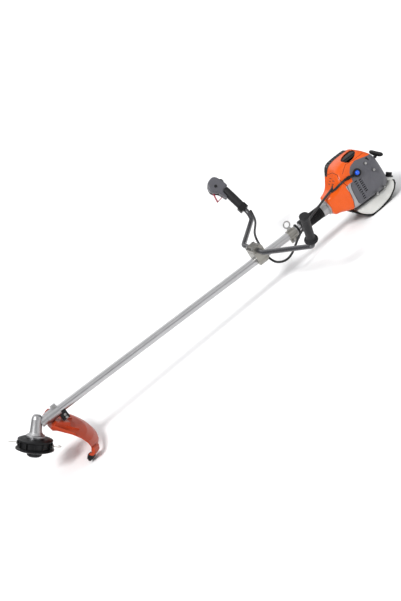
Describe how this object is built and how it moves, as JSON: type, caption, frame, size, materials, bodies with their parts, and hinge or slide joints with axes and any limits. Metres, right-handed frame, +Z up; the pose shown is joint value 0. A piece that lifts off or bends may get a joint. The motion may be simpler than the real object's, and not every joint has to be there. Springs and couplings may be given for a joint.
{
  "type": "brush cutter",
  "caption": "Petrol brush cutter: angled gear head with a nylon line head and guard, long drive tube, two-grip bar handle with throttle control, and a rear engine with tank and recoil starter.",
  "frame": {"origin": "under the middle of the machine's box, on the floor it rests on", "axes": "+X along the drive tube from the cutting head to the engine, +Y to the operator's right, +Z up"},
  "size_m": [1.5804, 0.7912, 0.3436],
  "materials": {
    "tube_alloy": "satin drawn tube",
    "bush_nylon": "plain nylon",
    "machined_steel": "turned and ground",
    "zinc_steel": "zinc plated",
    "cast_alloy": "die cast, slightly rough",
    "clamp_alloy": "cast, warm grey",
    "clutch_iron": "sintered",
    "muffler_steel": "heat dulled sheet",
    "black_nylon": "fine texture",
    "guard_red": "smooth moulded",
    "cowl_orange": "smooth moulded",
    "cover_grey": "smooth moulded",
    "soft_black": "moulded",
    "bar_paint": "satin powder coat",
    "tank_white": "translucent",
    "bulb_blue": "soft clear",
    "trigger_red": "smooth moulded",
    "control_black": "smooth moulded",
    "line_nylon": "clear drawn",
    "cable_black": "ribbed conduit",
    "rope_cord": "braided"
  },
  "bodies": {
    "root": {"shaft_tube": "tube_alloy", "shaft_bushes": "bush_nylon", "gear_case": "cast_alloy", "case_bearings": "machined_steel", "guard_bracket": "black_nylon", "guard": "guard_red", "guard_extension": "guard_red", "cutter_holder": "black_nylon", "line_cutter": "zinc_steel", "handlebar": "bar_paint", "clamp_lower": "clamp_alloy", "clamp_body": "clamp_alloy", "clamp_cap": "clamp_alloy", "clamp_bolts": "zinc_steel", "left_grip": "soft_black", "right_grip": "soft_black", "grip_collar": "black_nylon", "throttle_shell_left": "cover_grey", "throttle_shell_right": "cover_grey", "trigger_pin": "machined_steel", "harness_band": "clamp_alloy", "harness_ring": "zinc_steel", "m5_screws": "zinc_steel", "cable_strap": "black_nylon", "av_sleeve": "soft_black", "clutch_housing": "cast_alloy", "crankcase": "cast_alloy", "cylinder": "cast_alloy", "piston": "cast_alloy", "spark_plug": "zinc_steel", "muffler": "muffler_steel", "muffler_cover": "black_nylon", "carburettor": "cast_alloy", "front_cowl": "cowl_orange", "starter_cover": "cover_grey", "fuel_tank": "tank_white", "tank_skid": "black_nylon", "throttle_cable": "cable_black"},
    "head": {"crown_gear": "machined_steel", "output_spindle": "machined_steel", "trimmer_housing": "black_nylon", "line_eyelets": "zinc_steel", "cutting_line": "line_nylon"},
    "knob": {"bump_knob": "black_nylon", "spool_spring": "machined_steel"},
    "spool": {"line_spool": "black_nylon"},
    "drive": {"drive_shaft": "machined_steel", "clutch_drum": "machined_steel", "pinion_gear": "machined_steel"},
    "crank": {"crankshaft": "machined_steel", "clutch_shoes": "clutch_iron", "flywheel": "cast_alloy"},
    "starter": {"starter_handle": "black_nylon", "starter_rope": "rope_cord"},
    "pulley": {"recoil_pulley": "black_nylon"},
    "trigger": {"throttle_trigger": "trigger_red"},
    "lockout": {"trigger_lockout": "control_black"},
    "stop": {"stop_switch": "control_black"},
    "primer": {"primer_bulb": "bulb_blue"},
    "cap": {"fuel_cap": "black_nylon"}
  },
  "joints": [
    {"name": "head_spin", "type": "hinge", "parent": "root", "child": "head", "pos_m": [-0.68985, -0.00206, 0.17572], "axis": [0.6671, 0, 0.7449], "continuous": true},
    {"name": "knob_press", "type": "slide", "parent": "head", "child": "knob", "axis": [0.6671, 0, 0.7449], "range_m": [0, 0.006], "stiffness_N_per_m": 2500, "springref_m": -0.004, "deforming": ["spool_spring"]},
    {"name": "spool_feed", "type": "hinge", "parent": "knob", "child": "spool", "pos_m": [-0.72988, -0.00206, 0.13103], "axis": [0.6671, 0, 0.7449], "continuous": true},
    {"name": "drive_spin", "type": "hinge", "parent": "root", "child": "drive", "pos_m": [0.25281, -0.00206, 0.12557], "axis": [0.9986, 0, -0.0531], "continuous": true},
    {"name": "crank_spin", "type": "hinge", "parent": "root", "child": "crank", "pos_m": [0.62029, -0.00206, 0.10602], "axis": [0.9986, 0, -0.0531], "continuous": true},
    {"name": "starter_pull", "type": "slide", "parent": "root", "child": "starter", "axis": [0.812, 0, 0.5836], "range_m": [0, 0.75], "stiffness_N_per_m": 15, "springref_m": -0.6},
    {"name": "pulley_spin", "type": "hinge", "parent": "root", "child": "pulley", "pos_m": [0.71017, -0.00206, 0.10124], "axis": [0.9986, 0, -0.0531], "range_deg": [0, 1539.7]},
    {"name": "trigger_squeeze", "type": "hinge", "parent": "root", "child": "trigger", "pos_m": [0.32671, 0.3613, 0.30387], "axis": [0.0256, -0.8758, 0.482], "range_deg": [0, 15], "stiffness_Nm_per_rad": 0.4, "springref_deg": -17.19},
    {"name": "lockout_press", "type": "slide", "parent": "root", "child": "lockout", "axis": [-0.9967, -0.0595, -0.055], "range_m": [0, 0.004], "stiffness_N_per_m": 900, "springref_m": -0.002},
    {"name": "stop_press", "type": "slide", "parent": "root", "child": "stop", "axis": [-0.0256, 0.8758, -0.482], "range_m": [0, 0.0025], "stiffness_N_per_m": 900, "springref_m": -0.002},
    {"name": "primer_press", "type": "slide", "parent": "root", "child": "primer", "axis": [0, 1, 0], "range_m": [0, 0.005], "stiffness_N_per_m": 700, "springref_m": -0.002},
    {"name": "cap_turn", "type": "hinge", "parent": "root", "child": "cap", "pos_m": [0.75292, -0.05006, 0.05791], "axis": [0.6523, 0, 0.7579], "range_deg": [0, 450]}
  ],
  "couplings": [
    {"joint": "drive_spin", "follows": "head_spin", "ratio": -1.4},
    {"joint": "pulley_spin", "follows": "starter_pull", "rad_per_m": 35.714}
  ]
}
